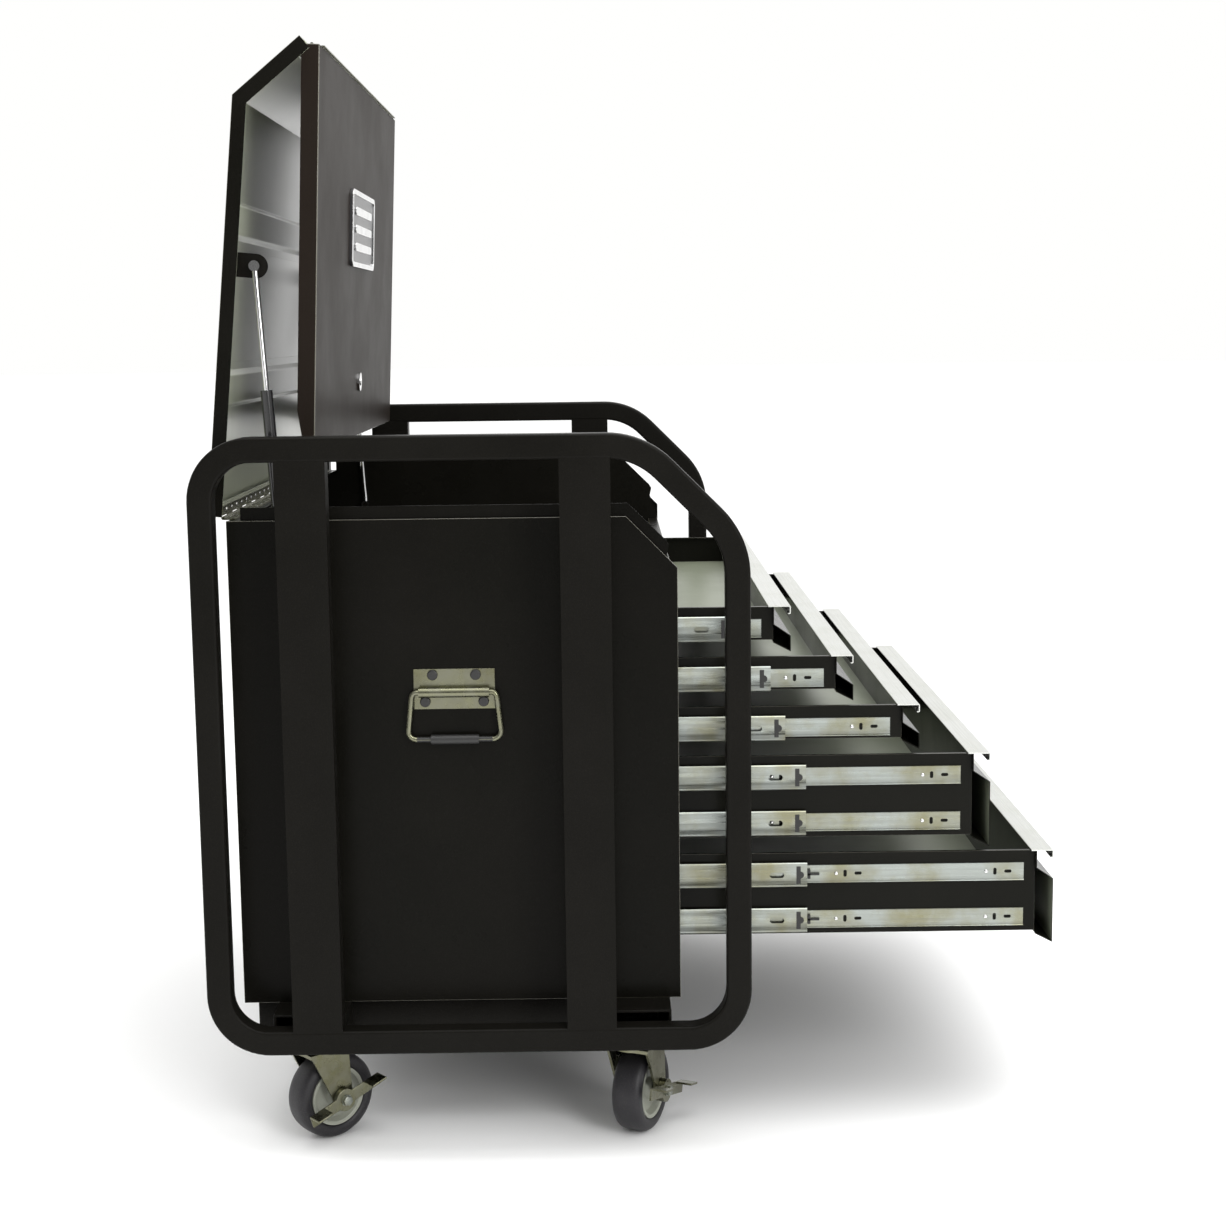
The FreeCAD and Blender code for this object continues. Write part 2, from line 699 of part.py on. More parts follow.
def buildStruts():
    for side, tubeBelow in (("left", True), ("right", False)):
        lower, upper = strutHalves(tubeBelow)
        if side == "right":
            lower = mirrored(lower)
            upper = mirrored(upper)
        save("strut_" + side + "_lower", lower)
        save("strut_" + side + "_upper", upper)


def buildDrawers():
    for i in range(len(drawerUnits)):
        number = str(i + 1)
        save("drawer_" + number + "_box", drawerBox(i))
        save("drawer_" + number + "_pull", drawerPull(i))
        save("drawer_" + number + "_runners", drawerRunners(i))
        save("middle_runners_" + number, middleRunners(i))


def buildCasters():
    for side in ("left", "right"):
        for end, place in enumerate(("rear", "front")):
            name = place + "_" + side
            save("caster_fork_" + name, placeCaster(fork(), side, end))
            save("caster_wheel_" + name, placeCaster(wheel(), side, end))
            save("caster_brake_" + name, placeCaster(brakeLever(brakeTilt[end]), side, end))


buildCabinet()
buildLid()
buildStruts()
buildDrawers()
buildCasters()
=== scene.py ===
import json
import math

import bmesh
import bpy
from mathutils import Matrix, Vector

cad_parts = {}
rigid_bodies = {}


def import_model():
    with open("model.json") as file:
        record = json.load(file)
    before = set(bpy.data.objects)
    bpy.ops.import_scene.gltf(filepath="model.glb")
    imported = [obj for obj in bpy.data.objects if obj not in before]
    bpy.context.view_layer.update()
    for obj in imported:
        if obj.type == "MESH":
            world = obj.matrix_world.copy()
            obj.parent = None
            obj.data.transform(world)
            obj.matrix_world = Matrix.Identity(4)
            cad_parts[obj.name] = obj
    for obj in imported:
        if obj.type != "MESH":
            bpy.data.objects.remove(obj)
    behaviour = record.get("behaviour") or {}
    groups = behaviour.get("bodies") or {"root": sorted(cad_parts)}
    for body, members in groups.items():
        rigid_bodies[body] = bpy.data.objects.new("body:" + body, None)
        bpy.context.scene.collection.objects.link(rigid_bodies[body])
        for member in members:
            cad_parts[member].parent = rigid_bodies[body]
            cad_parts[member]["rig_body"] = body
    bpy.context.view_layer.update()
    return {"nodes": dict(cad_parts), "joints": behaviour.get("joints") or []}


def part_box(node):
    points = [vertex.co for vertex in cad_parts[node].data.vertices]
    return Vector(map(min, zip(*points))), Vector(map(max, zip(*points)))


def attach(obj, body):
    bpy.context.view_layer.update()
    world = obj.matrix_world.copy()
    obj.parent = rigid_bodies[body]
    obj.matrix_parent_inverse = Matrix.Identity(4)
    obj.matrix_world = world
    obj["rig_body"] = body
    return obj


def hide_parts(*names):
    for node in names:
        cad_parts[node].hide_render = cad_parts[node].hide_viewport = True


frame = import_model()
nodes = frame["nodes"]
joints = {joint["name"]: joint for joint in frame["joints"]}
scene = bpy.context.scene
mm = 0.001
sides = ("left", "right")
ends = ("rear", "front")
print("frame loaded:", len(nodes), "nodes")


# shader groups

def newGroup(name, inputs, outputs):
    tree = bpy.data.node_groups.new(name, "ShaderNodeTree")
    for label, kind, value in inputs:
        socket = tree.interface.new_socket(label, in_out="INPUT", socket_type=kind)
        socket.default_value = value
    for label, kind in outputs:
        tree.interface.new_socket(label, in_out="OUTPUT", socket_type=kind)
    return tree, tree.nodes.new("NodeGroupInput"), tree.nodes.new("NodeGroupOutput")


def noise(tree, vector, scale, detail, rough=0.5):
    node = tree.nodes.new("ShaderNodeTexNoise")
    node.inputs["Detail"].default_value = detail
    node.inputs["Roughness"].default_value = rough
    tree.links.new(vector, node.inputs["Vector"])
    if isinstance(scale, (int, float)):
        node.inputs["Scale"].default_value = scale
    else:
        tree.links.new(scale, node.inputs["Scale"])
    return node.outputs["Fac"]


def spread(tree, value, low, high, toLow, toHigh):
    node = tree.nodes.new("ShaderNodeMapRange")
    tree.links.new(value, node.inputs["Value"])
    node.inputs["From Min"].default_value = low
    node.inputs["From Max"].default_value = high
    for label, end in (("To Min", toLow), ("To Max", toHigh)):
        if isinstance(end, (int, float)):
            node.inputs[label].default_value = end
        else:
            tree.links.new(end, node.inputs[label])
    return node.outputs["Result"]


def mixColour(tree, fac, a, b):
    node = tree.nodes.new("ShaderNodeMix")
    node.data_type = "RGBA"
    tree.links.new(fac, node.inputs["Factor"])
    for index, end in ((6, a), (7, b)):
        if isinstance(end, tuple):
            node.inputs[index].default_value = end
        else:
            tree.links.new(end, node.inputs[index])
    return node.outputs[2]


def bump(tree, height, strength, distance):
    node = tree.nodes.new("ShaderNodeBump")
    node.inputs["Distance"].default_value = distance
    tree.links.new(height, node.inputs["Height"])
    if isinstance(strength, (int, float)):
        node.inputs["Strength"].default_value = strength
    else:
        tree.links.new(strength, node.inputs["Strength"])
    return node.outputs["Normal"]


def bakedCoat():
    # orange peel, faint smears and a little dust, for anything that is sprayed
    tree, given, out = newGroup("bakedCoat", [
        ("Colour", "NodeSocketColor", (0.02, 0.02, 0.02, 1)), ("Dust", "NodeSocketFloat", 0.15),
        ("Peel", "NodeSocketFloat", 0.12), ("Peel Scale", "NodeSocketFloat", 420.0),
        ("Smooth", "NodeSocketFloat", 0.22), ("Smeared", "NodeSocketFloat", 0.4)],
        [("Colour", "NodeSocketColor"), ("Roughness", "NodeSocketFloat"), ("Normal", "NodeSocketVector")])
    place = tree.nodes.new("ShaderNodeTexCoord").outputs["Object"]
    smear = noise(tree, place, 5.0, 5.0, 0.62)
    speck = noise(tree, place, 900.0, 2.0)
    dust = tree.nodes.new("ShaderNodeMath")
    dust.operation = "MULTIPLY"
    tree.links.new(spread(tree, speck, 0.56, 0.74, 0.0, 1.0), dust.inputs[0])
    tree.links.new(given.outputs["Dust"], dust.inputs[1])
    shade = mixColour(tree, spread(tree, smear, 0.35, 0.75, 0.0, 0.05), given.outputs["Colour"],
                      (0.05, 0.046, 0.04, 1))
    tree.links.new(mixColour(tree, dust.outputs[0], shade, (0.16, 0.15, 0.13, 1)), out.inputs["Colour"])
    rough = spread(tree, smear, 0.3, 0.75, given.outputs["Smooth"], given.outputs["Smeared"])
    tree.links.new(rough, out.inputs["Roughness"])
    peel = noise(tree, place, given.outputs["Peel Scale"], 2.0)
    tree.links.new(bump(tree, peel, given.outputs["Peel"], 0.0008), out.inputs["Normal"])
    return tree


def rolledMetal():
    # long grain in the rolling direction, stains and small scratches, for bare and plated metal
    tree, given, out = newGroup("rolledMetal", [
        ("Colour", "NodeSocketColor", (0.6, 0.6, 0.6, 1)), ("Stain", "NodeSocketColor", (0.5, 0.5, 0.4, 1)),
        ("Stained", "NodeSocketFloat", 0.6), ("Grain", "NodeSocketVector", (300.0, 8.0, 300.0)),
        ("Smooth", "NodeSocketFloat", 0.2), ("Dull", "NodeSocketFloat", 0.42),
        ("Relief", "NodeSocketFloat", 0.12)],
        [("Colour", "NodeSocketColor"), ("Roughness", "NodeSocketFloat"), ("Normal", "NodeSocketVector")])
    place = tree.nodes.new("ShaderNodeTexCoord").outputs["Object"]
    stretch = tree.nodes.new("ShaderNodeVectorMath")
    stretch.operation = "MULTIPLY"
    tree.links.new(place, stretch.inputs[0])
    tree.links.new(given.outputs["Grain"], stretch.inputs[1])
    grain = noise(tree, stretch.outputs[0], 1.0, 4.0)
    patch = noise(tree, place, 14.0, 4.0, 0.6)
    stained = tree.nodes.new("ShaderNodeMath")
    stained.operation = "MULTIPLY"
    tree.links.new(spread(tree, patch, 0.4, 0.68, 0.0, 1.0), stained.inputs[0])
    tree.links.new(given.outputs["Stained"], stained.inputs[1])
    colour = mixColour(tree, stained.outputs[0], given.outputs["Colour"], given.outputs["Stain"])
    darker = mixColour(tree, spread(tree, grain, 0.35, 0.7, 0.0, 0.25), colour, (0.25, 0.25, 0.24, 1))
    tree.links.new(darker, out.inputs["Colour"])
    tree.links.new(spread(tree, grain, 0.3, 0.7, given.outputs["Smooth"], given.outputs["Dull"]),
                   out.inputs["Roughness"])
    tree.links.new(bump(tree, grain, given.outputs["Relief"], 0.0004), out.inputs["Normal"])
    return tree


coatGroup = bakedCoat()
metalGroup = rolledMetal()


def finish(name, group, values, shader):
    # a material whose colour, roughness and normal come from one of the groups above
    material = bpy.data.materials.new(name)
    material.use_nodes = True
    tree = material.node_tree
    surface = tree.nodes["Principled BSDF"]
    source = tree.nodes.new("ShaderNodeGroup")
    source.node_tree = group
    for label, value in values.items():
        source.inputs[label].default_value = value
    for label, socket in (("Colour", "Base Color"), ("Roughness", "Roughness"), ("Normal", "Normal")):
        tree.links.new(source.outputs[label], surface.inputs[socket])
    for label, value in shader.items():
        surface.inputs[label].default_value = value
    return material


def rgb(r, g, b):
    return (r, g, b, 1.0)


metal = {"Metallic": 1.0}
blackEnamel = finish("blackEnamel", coatGroup, {
    "Colour": rgb(0.0046, 0.0043, 0.0032), "Smooth": 0.24, "Smeared": 0.36, "Dust": 0.03},
    {"Specular IOR Level": 0.055})
# painted highlight: a lighter, glossier coat on the outer bends of the black sheet, standing in for light
# caught on the folds
paintedBendHighlight = finish("paintedBendHighlight", coatGroup, {
    "Colour": rgb(0.1, 0.095, 0.07), "Smooth": 0.16, "Smeared": 0.3, "Dust": 0.1},
    {"Coat Weight": 0.6, "Coat Roughness": 0.1})
# painted reflection: a pale colour on the black gloss underside of the lid, standing in for the lit
# surroundings it reflects
paintedInnerReflection = finish("paintedInnerReflection", coatGroup, {
    "Colour": rgb(0.66, 0.7, 0.52), "Smooth": 0.34, "Smeared": 0.46, "Dust": 0.1, "Peel": 0.06},
    {"Specular IOR Level": 0.6, "Coat Weight": 1.0, "Coat Roughness": 0.2, "Coat IOR": 1.9})
# painted reflection: pale colour inside the drawers, standing in for the sheen of their black gloss paint
paintedDrawerSheen = finish("paintedDrawerSheen", coatGroup, {
    "Colour": rgb(0.17, 0.187, 0.135), "Smooth": 0.3, "Smeared": 0.44, "Dust": 0.1, "Peel": 0.1},
    {"Specular IOR Level": 0.4})
coverEnamel = finish("coverEnamel", coatGroup, {
    "Colour": rgb(0.0145, 0.0108, 0.0085), "Smooth": 0.34, "Smeared": 0.44, "Dust": 0.02, "Peel": 0.15},
    {"Specular IOR Level": 0.022})
frameEnamel = finish("frameEnamel", coatGroup, {
    "Colour": rgb(0.0052, 0.0048, 0.0038), "Smooth": 0.3, "Smeared": 0.42, "Dust": 0.04, "Peel": 0.25},
    {"Specular IOR Level": 0.06})
drawerEnamel = finish("drawerEnamel", coatGroup, {
    "Colour": rgb(0.005, 0.005, 0.0036), "Smooth": 0.14, "Smeared": 0.28, "Dust": 0.03, "Peel": 0.08},
    {"Specular IOR Level": 0.07})
blackPlastic = finish("blackPlastic", coatGroup, {
    "Colour": rgb(0.01, 0.01, 0.01), "Smooth": 0.42, "Smeared": 0.6, "Peel": 0.3, "Peel Scale": 1500.0}, {})
blackOxide = finish("blackOxide", coatGroup, {
    "Colour": rgb(0.012, 0.012, 0.012), "Smooth": 0.25, "Smeared": 0.4, "Peel": 0.1}, {})
zincSteel = finish("zincSteel", metalGroup, {
    "Colour": rgb(0.31, 0.335, 0.315), "Stain": rgb(0.21, 0.2, 0.115), "Stained": 0.9}, metal)
stampedZinc = finish("stampedZinc", metalGroup, {
    "Colour": rgb(0.19, 0.19, 0.125), "Stain": rgb(0.115, 0.11, 0.06), "Stained": 0.8,
    "Grain": (60.0, 60.0, 60.0), "Smooth": 0.2, "Dull": 0.38, "Relief": 0.05}, metal)
yellowZinc = finish("yellowZinc", metalGroup, {
    "Colour": rgb(0.2, 0.2, 0.12), "Stain": rgb(0.14, 0.13, 0.06), "Grain": (8.0, 260.0, 260.0)}, metal)
pullAluminium = finish("pullAluminium", metalGroup, {
    "Colour": rgb(0.7, 0.71, 0.68), "Stain": rgb(0.6, 0.61, 0.55), "Stained": 0.5,
    "Grain": (6.0, 500.0, 500.0), "Smooth": 0.24, "Dull": 0.4, "Relief": 0.08}, metal)
chromePlate = finish("chromePlate", metalGroup, {
    "Colour": rgb(0.8, 0.8, 0.8), "Stain": rgb(0.7, 0.7, 0.7), "Stained": 0.3,
    "Grain": (40.0, 40.0, 40.0), "Smooth": 0.05, "Dull": 0.12, "Relief": 0.02}, metal)
strutGloss = finish("strutGloss", coatGroup, {
    "Colour": rgb(0.01, 0.01, 0.011), "Smooth": 0.12, "Smeared": 0.22, "Peel": 0.05},
    {"Coat Weight": 0.5, "Coat Roughness": 0.05})
tyreRubber = finish("tyreRubber", coatGroup, {
    "Colour": rgb(0.012, 0.011, 0.014), "Smooth": 0.42, "Smeared": 0.62, "Dust": 0.25, "Peel": 0.35,
    "Peel Scale": 700.0}, {"Specular IOR Level": 0.4})
hubGrey = finish("hubGrey", coatGroup, {
    "Colour": rgb(0.3, 0.31, 0.26), "Smooth": 0.38, "Smeared": 0.55, "Dust": 0.3, "Peel": 0.15}, {})
badgeFace = finish("badgeFace", coatGroup, {
    "Colour": rgb(0.03, 0.03, 0.032), "Smooth": 0.2, "Smeared": 0.3, "Peel": 0.3, "Peel Scale": 900.0}, {})
gripVinyl = finish("gripVinyl", coatGroup, {
    "Colour": rgb(0.016, 0.016, 0.016), "Smooth": 0.34, "Smeared": 0.5, "Peel": 0.25,
    "Peel Scale": 1100.0}, {})
print("materials made")


# mesh helpers

def place(bm, name, material, body, slot, smooth=35.0, stands=None):
    # turns the mesh into a piece that rides on its body
    mesh = bpy.data.meshes.new(name)
    bm.to_mesh(mesh)
    bm.free()
    for face in mesh.polygons:
        face.use_smooth = True
    mesh.set_sharp_from_angle(angle=math.radians(smooth))
    mesh.materials.append(material)
    piece = bpy.data.objects.new(name, mesh)
    scene.collection.objects.link(piece)
    if stands is not None:
        piece.modifiers.new("evenNormals", "WEIGHTED_NORMAL").keep_sharp = True
    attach(piece, body)
    if stands:
        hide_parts(*stands)
    return piece


def width(face):
    return 2.0 * face.calc_area() / face.calc_perimeter()


def softFolds(node, material, slot, bend=2.4, inside=1.0, sheet=1.7, parts=3, highlightPaint=None):
    # the node's own shape with its folds rounded as a press brake leaves them
    bm = bmesh.new()
    bm.from_mesh(nodes[node].data)
    bmesh.ops.remove_doubles(bm, verts=bm.verts, dist=2e-5)
    bmesh.ops.dissolve_limit(bm, angle_limit=math.radians(0.6), verts=bm.verts, edges=bm.edges)
    for radius, convex in ((bend, True), (inside, False)):
        folds = []
        for edge in bm.edges:
            if len(edge.link_faces) != 2 or edge.is_convex != convex:
                continue
            if edge.calc_face_angle(0.0) < math.radians(20):
                continue
            if min(width(face) for face in edge.link_faces) < sheet * mm:
                continue
            folds.append(edge)
        if folds and radius:
            made = bmesh.ops.bevel(bm, geom=folds, offset=radius * mm, segments=parts, profile=0.5,
                                   affect="EDGES", clamp_overlap=True)
            # the new faces of the outer bends take the second material, a painted highlight, when one is
            # given
            for face in made["faces"]:
                face.material_index = 1 if convex and highlightPaint else 0
            bmesh.ops.remove_doubles(bm, verts=bm.verts, dist=1e-6)
    piece = place(bm, node + "_formed", material, nodes[node]["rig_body"], slot, stands=[node])
    if highlightPaint:
        piece.data.materials.append(highlightPaint)
    return piece


def extrude(bm, outline, start, depth):
    # outline in 3-D, drawn out by depth; a closed solid
    near = [bm.verts.new(Vector(start) + point) for point in outline]
    far = [bm.verts.new(vert.co + Vector(depth)) for vert in near]
    count = len(near)
    bm.faces.new(near)
    bm.faces.new(far[::-1])
    for i in range(count):
        bm.faces.new((near[(i + 1) % count], near[i], far[i], far[(i + 1) % count]))
    return near + far


def lathe(bm, profile, centre, axis, steps=56):
    # profile holds (distance along the axis, radius); a radius of 0 closes the end
    axis = Vector(axis).normalized()
    across = axis.orthogonal().normalized()
    other = axis.cross(across)
    rings = []
    for along, radius in profile:
        middle = Vector(centre) + axis * along
        if radius == 0:
            rings.append([bm.verts.new(middle)])
            continue
        ring = []
        for i in range(steps):
            turn = 2 * math.pi * i / steps
            ring.append(bm.verts.new(middle + (across * math.cos(turn) + other * math.sin(turn)) * radius))
        rings.append(ring)
    for before, after in zip(rings, rings[1:]):
        for i in range(steps):
            j = (i + 1) % steps
            corners = [before[i % len(before)], before[j % len(before)], after[j % len(after)],
                       after[i % len(after)]]
            unique = [vert for k, vert in enumerate(corners) if vert not in corners[:k]]
            bm.faces.new(unique)


def tidy(bm):
    bmesh.ops.recalc_face_normals(bm, faces=bm.faces)
    return bm


def plainMesh(obj):
    mesh = bpy.data.meshes.new_from_object(obj.evaluated_get(bpy.context.evaluated_depsgraph_get()))
    obj.modifiers.clear()
    obj.data = mesh
    return obj


# Geometry Nodes: one head on every place, used for screws, rivets and slot cutters

def fieldTree():
    tree = bpy.data.node_groups.new("fastenerField", "GeometryNodeTree")
    sockets = (("Places", "INPUT", "NodeSocketGeometry"), ("Head", "INPUT", "NodeSocketObject"),
               ("Turn", "INPUT", "NodeSocketRotation"), ("Size", "INPUT", "NodeSocketFloat"),
               ("Loose", "INPUT", "NodeSocketFloat"), ("Seed", "INPUT", "NodeSocketInt"),
               ("Finish", "INPUT", "NodeSocketMaterial"), ("Fasteners", "OUTPUT", "NodeSocketGeometry"))
    for label, way, kind in sockets:
        tree.interface.new_socket(label, in_out=way, socket_type=kind)
    given = tree.nodes.new("NodeGroupInput")
    out = tree.nodes.new("NodeGroupOutput")
    head = tree.nodes.new("GeometryNodeObjectInfo")
    spin = tree.nodes.new("FunctionNodeRandomValue")
    about = tree.nodes.new("ShaderNodeCombineXYZ")
    toRotation = tree.nodes.new("FunctionNodeEulerToRotation")
    turn = tree.nodes.new("FunctionNodeRotateRotation")
    turn.rotation_space = "LOCAL"
    copy = tree.nodes.new("GeometryNodeInstanceOnPoints")
    real = tree.nodes.new("GeometryNodeRealizeInstances")
    paint = tree.nodes.new("GeometryNodeSetMaterial")
    link = tree.links.new
    link(given.outputs["Head"], head.inputs["Object"])
    link(given.outputs["Loose"], spin.inputs[3])
    link(given.outputs["Seed"], spin.inputs["Seed"])
    link(spin.outputs[1], about.inputs["Z"])
    link(about.outputs[0], toRotation.inputs[0])
    link(given.outputs["Turn"], turn.inputs[0])
    link(toRotation.outputs[0], turn.inputs[1])
    link(given.outputs["Places"], copy.inputs["Points"])
    link(head.outputs["Geometry"], copy.inputs["Instance"])
    link(turn.outputs[0], copy.inputs["Rotation"])
    link(given.outputs["Size"], copy.inputs["Scale"])
    link(copy.outputs[0], real.inputs[0])
    link(real.outputs[0], paint.inputs["Geometry"])
    link(given.outputs["Finish"], paint.inputs["Material"])
    link(paint.outputs[0], out.inputs[0])
    return tree


fieldNodes = fieldTree()
fieldSocket = {item.name: item.identifier for item in fieldNodes.interface.items_tree
               if item.item_type == "SOCKET" and item.in_out == "INPUT"}
headStore = bpy.data.collections.new("heads")


def headObject(name, build):
    bm = bmesh.new()
    build(bm)
    tidy(bm)
    mesh = bpy.data.meshes.new(name)
    bm.to_mesh(mesh)
    bm.free()
    for face in mesh.polygons:
        face.use_smooth = True
    mesh.set_sharp_from_angle(angle=math.radians(40))
    obj = bpy.data.objects.new(name, mesh)
    headStore.objects.link(obj)
    return obj


def facing(direction):
    # the turn that points a head's +Z along direction
    return Vector(direction).to_track_quat("Z", "Y").to_euler()


def field(name, places, head, direction, material, size=1.0, loose=0.0, seed=1):
    mesh = bpy.data.meshes.new(name)
    mesh.from_pydata([tuple(p) for p in places], [], [])
    obj = bpy.data.objects.new(name, mesh)
    scene.collection.objects.link(obj)
    nodesModifier = obj.modifiers.new("fasteners", "NODES")
    nodesModifier.node_group = fieldNodes
    values = {"Head": head, "Turn": facing(direction), "Size": size, "Loose": loose, "Seed": seed,
              "Finish": material}
    for label, value in values.items():
        nodesModifier[fieldSocket[label]] = value
    return plainMesh(obj)


def joined(name, fields, body):
    # several fields on the same body become one piece
    bm = bmesh.new()
    materials = []
    for obj in fields:
        offset = len(materials)
        materials += list(obj.data.materials)
        first = len(bm.faces)
        bm.from_mesh(obj.data)
        bm.faces.ensure_lookup_table()
        for face in bm.faces[first:]:
            face.material_index += offset
        bpy.data.objects.remove(obj)
    mesh = bpy.data.meshes.new(name)
    bm.to_mesh(mesh)
    bm.free()
    for material in materials:
        mesh.materials.append(material)
    piece = bpy.data.objects.new(name, mesh)
    scene.collection.objects.link(piece)
    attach(piece, body)
    return piece


def domeHead(bm):
    lathe(bm, [(-0.6 * mm, 0), (-0.6 * mm, 3.2 * mm), (0.3 * mm, 3.2 * mm), (1.2 * mm, 2.5 * mm),
               (1.7 * mm, 1.3 * mm), (1.9 * mm, 0)], (0, 0, 0), (0, 0, 1), 12)


def crossHead(bm):
    # a pan-head screw with a cross recess
    lathe(bm, [(-0.5 * mm, 0), (-0.5 * mm, 3.2 * mm), (0.3 * mm, 3.2 * mm), (0.8 * mm, 2.3 * mm),
               (0.8 * mm, 1.1 * mm), (0.1 * mm, 0)], (0, 0, 0), (0, 0, 1), 8)


def hexHead(bm):
    lathe(bm, [(-0.3 * mm, 0), (-0.3 * mm, 7.6 * mm), (0.6 * mm, 7.6 * mm), (0.6 * mm, 6.4 * mm),
               (5.0 * mm, 6.4 * mm), (5.6 * mm, 5.4 * mm), (5.6 * mm, 0)], (0, 0, 0), (0, 0, 1), 6)


rivet = headObject("rivetHead", domeHead)
screw = headObject("screwHead", crossHead)
hexNut = headObject("hexHead", hexHead)
print("heads made")


# cabinet, frames, lid and drawers: folded sheet and tube

for side in sides:
    softFolds("side_panel_" + side, blackEnamel, "black_enamel", bend=2.6, highlightPaint=paintedBendHighlight)
    softFolds("guard_frame_" + side, frameEnamel, "frame_enamel", bend=5.0, inside=2.5, sheet=3.0)
for node in ("back_panel", "top_tray", "cabinet_frame"):
    softFolds(node, blackEnamel, "black_enamel", highlightPaint=paintedBendHighlight)
# where the painted reflection goes: the lid's hollow, the strut tabs left black, and the share of the
# drawers' end walls
paintedReflectionZones = {"ahead": 0.3, "tabTall": 30.0 * mm, "tabInner": 470.0 * mm, "drawerShare": 0.3}
lid = softFolds("lid_shell", blackEnamel, "black_enamel", highlightPaint=paintedBendHighlight)
lid.data.materials.append(paintedInnerReflection)
low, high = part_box("lid_shell")
hollow = Vector((0, low.y - paintedReflectionZones["ahead"], (low.z + high.z) / 2))
for face in lid.data.polygons:
    inward = (hollow - face.center).dot(face.normal) > 0
    if inward and face.material_index == 0:
        face.material_index = 2           # the underside gets the pale painted reflection
# the stiffeners take the pale painted reflection; their strut tabs stay black
hats = softFolds("lid_stiffeners", paintedInnerReflection, "black_enamel")
hats.data.materials.append(frameEnamel)
head = Vector(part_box("strut_left_upper")[1])
for face in hats.data.polygons:
    if abs(face.center.z - head.z) < paintedReflectionZones["tabTall"] and abs(face.center.x) > paintedReflectionZones["tabInner"]:
        face.material_index = 1           # the struts' tabs
softFolds("base_chassis", frameEnamel, "frame_enamel", bend=3.0)
softFolds("front_cover", coverEnamel, "black_enamel", highlightPaint=paintedBendHighlight)
for number in range(1, 6):
    box = softFolds(f"drawer_{number}_box", drawerEnamel, "black_enamel", bend=1.6, inside=0.8,
                    highlightPaint=paintedBendHighlight)
    box.data.materials.append(paintedDrawerSheen)
    low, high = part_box(f"drawer_{number}_box")
    middle = (Vector(low) + Vector(high)) / 2
    # the floor and the inner end walls take the pale painted reflection
    for face in box.data.polygons:
        lying = face.normal.z > 0.9 and face.center.z < middle.z
        standing = abs(face.normal.y) > 0.9 and (middle - face.center).dot(face.normal) > 0
        within = abs(face.center.z - middle.z) < paintedReflectionZones["drawerShare"] * (high[2] - low[2])
        if lying or (standing and within):
            face.material_index = 2
    softFolds(f"drawer_{number}_pull", pullAluminium, "pull_aluminium", bend=1.8, inside=0.6)
print("sheet metal formed")


# side handles: bent wire and its vinyl sleeve

bail = {"gripHalf": 34.5 * mm, "gripRadius": 7.2 * mm}
for side in sides:
    hoop = softFolds("bail_" + side, stampedZinc, "zinc_steel", bend=0.0, inside=0.0)
    hoop.data.materials.append(gripVinyl)
    low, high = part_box("bail_" + side)
    middle = Vector(((low.x + high.x) / 2, (low.y + high.y) / 2, low.z + bail["gripRadius"]))
    for face in hoop.data.polygons:
        out = face.center - middle
        if abs(out.y) < bail["gripHalf"] and abs(out.z) < bail["gripRadius"]:
            face.material_index = 1
softFolds("handle_plates", stampedZinc, "zinc_steel", bend=0.8, inside=1.5, sheet=1.2)
print("handles made")


# ball-bearing slides

slide = {
    "boxHalf": 488.0 * mm, "length": 558.8 * mm,
    # centre lines of the rolled sections, as (distance out from the drawer's side, height), lower half
    "drawer": [(2.8, -12.7), (1.9, -13.1), (1.1, -12.6), (0.8, -11.2)],
    "middle": [(4.7, -16.0), (5.2, -17.4), (6.8, -17.7), (7.8, -16.6), (7.9, -13.6), (7.1, -12.2)],
    "metal": 0.9, "drawerTall": 27.5, "middleTall": 36.6,
    "rivetSet": [55.0, 274.0, 493.0],      # places along the drawer member, back from its front
    "uprightSlot": (-13.0, 5.0, 10.4), "levelSlot": (-32.0, 10.6, 4.8),
    "keyhole": (44.0, 21.0, 8.6)}      # slots: distance back, length, height
stop = {"behind": 12.5, "half": 3.0, "heel": 3.2, "tall": 13.2, "neck": 5.4, "nose": (4.8, 5.0),
        "lift": 0.3, "thick": 0.75}
# the release lever on the last drawer: a grip and a finger, as (reach, half height)
lever = {"drawer": 5, "ahead": 13.5, "foot": 1.2, "thick": 4.4, "bars": ((4.0, 6.5), (17.0, 1.3))}


def ribbon(line, thickness):
    # a closed outline at half the thickness on each side of the line
    left = []
    right = []
    for i, point in enumerate(line):
        here = Vector(point)
        ways = []
        for a, b in ((i - 1, i), (i, i + 1)):
            if a >= 0 and b < len(line):
                ways.append((Vector(line[b]) - Vector(line[a])).normalized())
        normals = [Vector((-way.y, way.x)) for way in ways]
        normal = sum(normals, Vector((0, 0))) / len(normals)
        normal = normal / normal.length_squared * (thickness / 2)
        left.append(here + normal)
        right.append(here - normal)
    return left + right[::-1]


def member(bm, half, sign, height, front):
    line = half + [(x, -z) for x, z in half[::-1]]
    outline = [Vector((sign * (slide["boxHalf"] + p.x * mm), 0, height + p.y * mm))
               for p in ribbon(line, slide["metal"])]
    extrude(bm, outline, (0, front, 0), (0, slide["length"], 0))


def slotCutter(name, long, tall):
    def build(bm):
        outline = []
        radius = min(long, tall) / 2
        for k in range(16):
            turn = 2 * math.pi * (k + 0.5) / 16
            x = math.copysign(max(long / 2 - radius, 0), math.cos(turn)) + radius * math.cos(turn)
            y = math.copysign(max(tall / 2 - radius, 0), math.sin(turn)) + radius * math.sin(turn)
            outline.append(Vector((x * mm, y * mm, 0)))
        extrude(bm, outline, (0, 0, -3 * mm), (0, 0, 6 * mm))
    return headObject(name, build)


